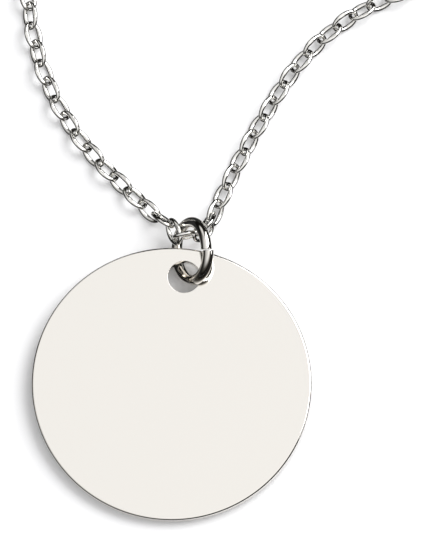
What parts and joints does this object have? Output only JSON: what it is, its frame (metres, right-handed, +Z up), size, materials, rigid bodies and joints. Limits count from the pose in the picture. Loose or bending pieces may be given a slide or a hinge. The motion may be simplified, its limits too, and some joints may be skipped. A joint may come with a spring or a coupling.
{
  "type": "disc pendant necklace",
  "caption": "Plain round polished disc pendant on an open jump ring and a fine oval-link cable chain, laid flat as a closed necklace.",
  "frame": {"origin": "on the table, straight below the middle of the disc", "axes": "+Y runs from the disc to the back of the neck loop, +Z up from the table, +X to the right"},
  "size_m": [0.1188, 0.2015, 0.0056],
  "materials": {
    "disc_silver": "polished sterling silver sheet, faintly marked by handling",
    "ring_silver": "polished sterling silver wire",
    "chain_silver": "tumble-polished sterling silver links"
  },
  "bodies": {
    "root": {"disc": "disc_silver", "jump_ring": "ring_silver", "chain_left": "chain_silver", "chain_right": "chain_silver", "clasp": "ring_silver"}
  },
  "joints": []
}
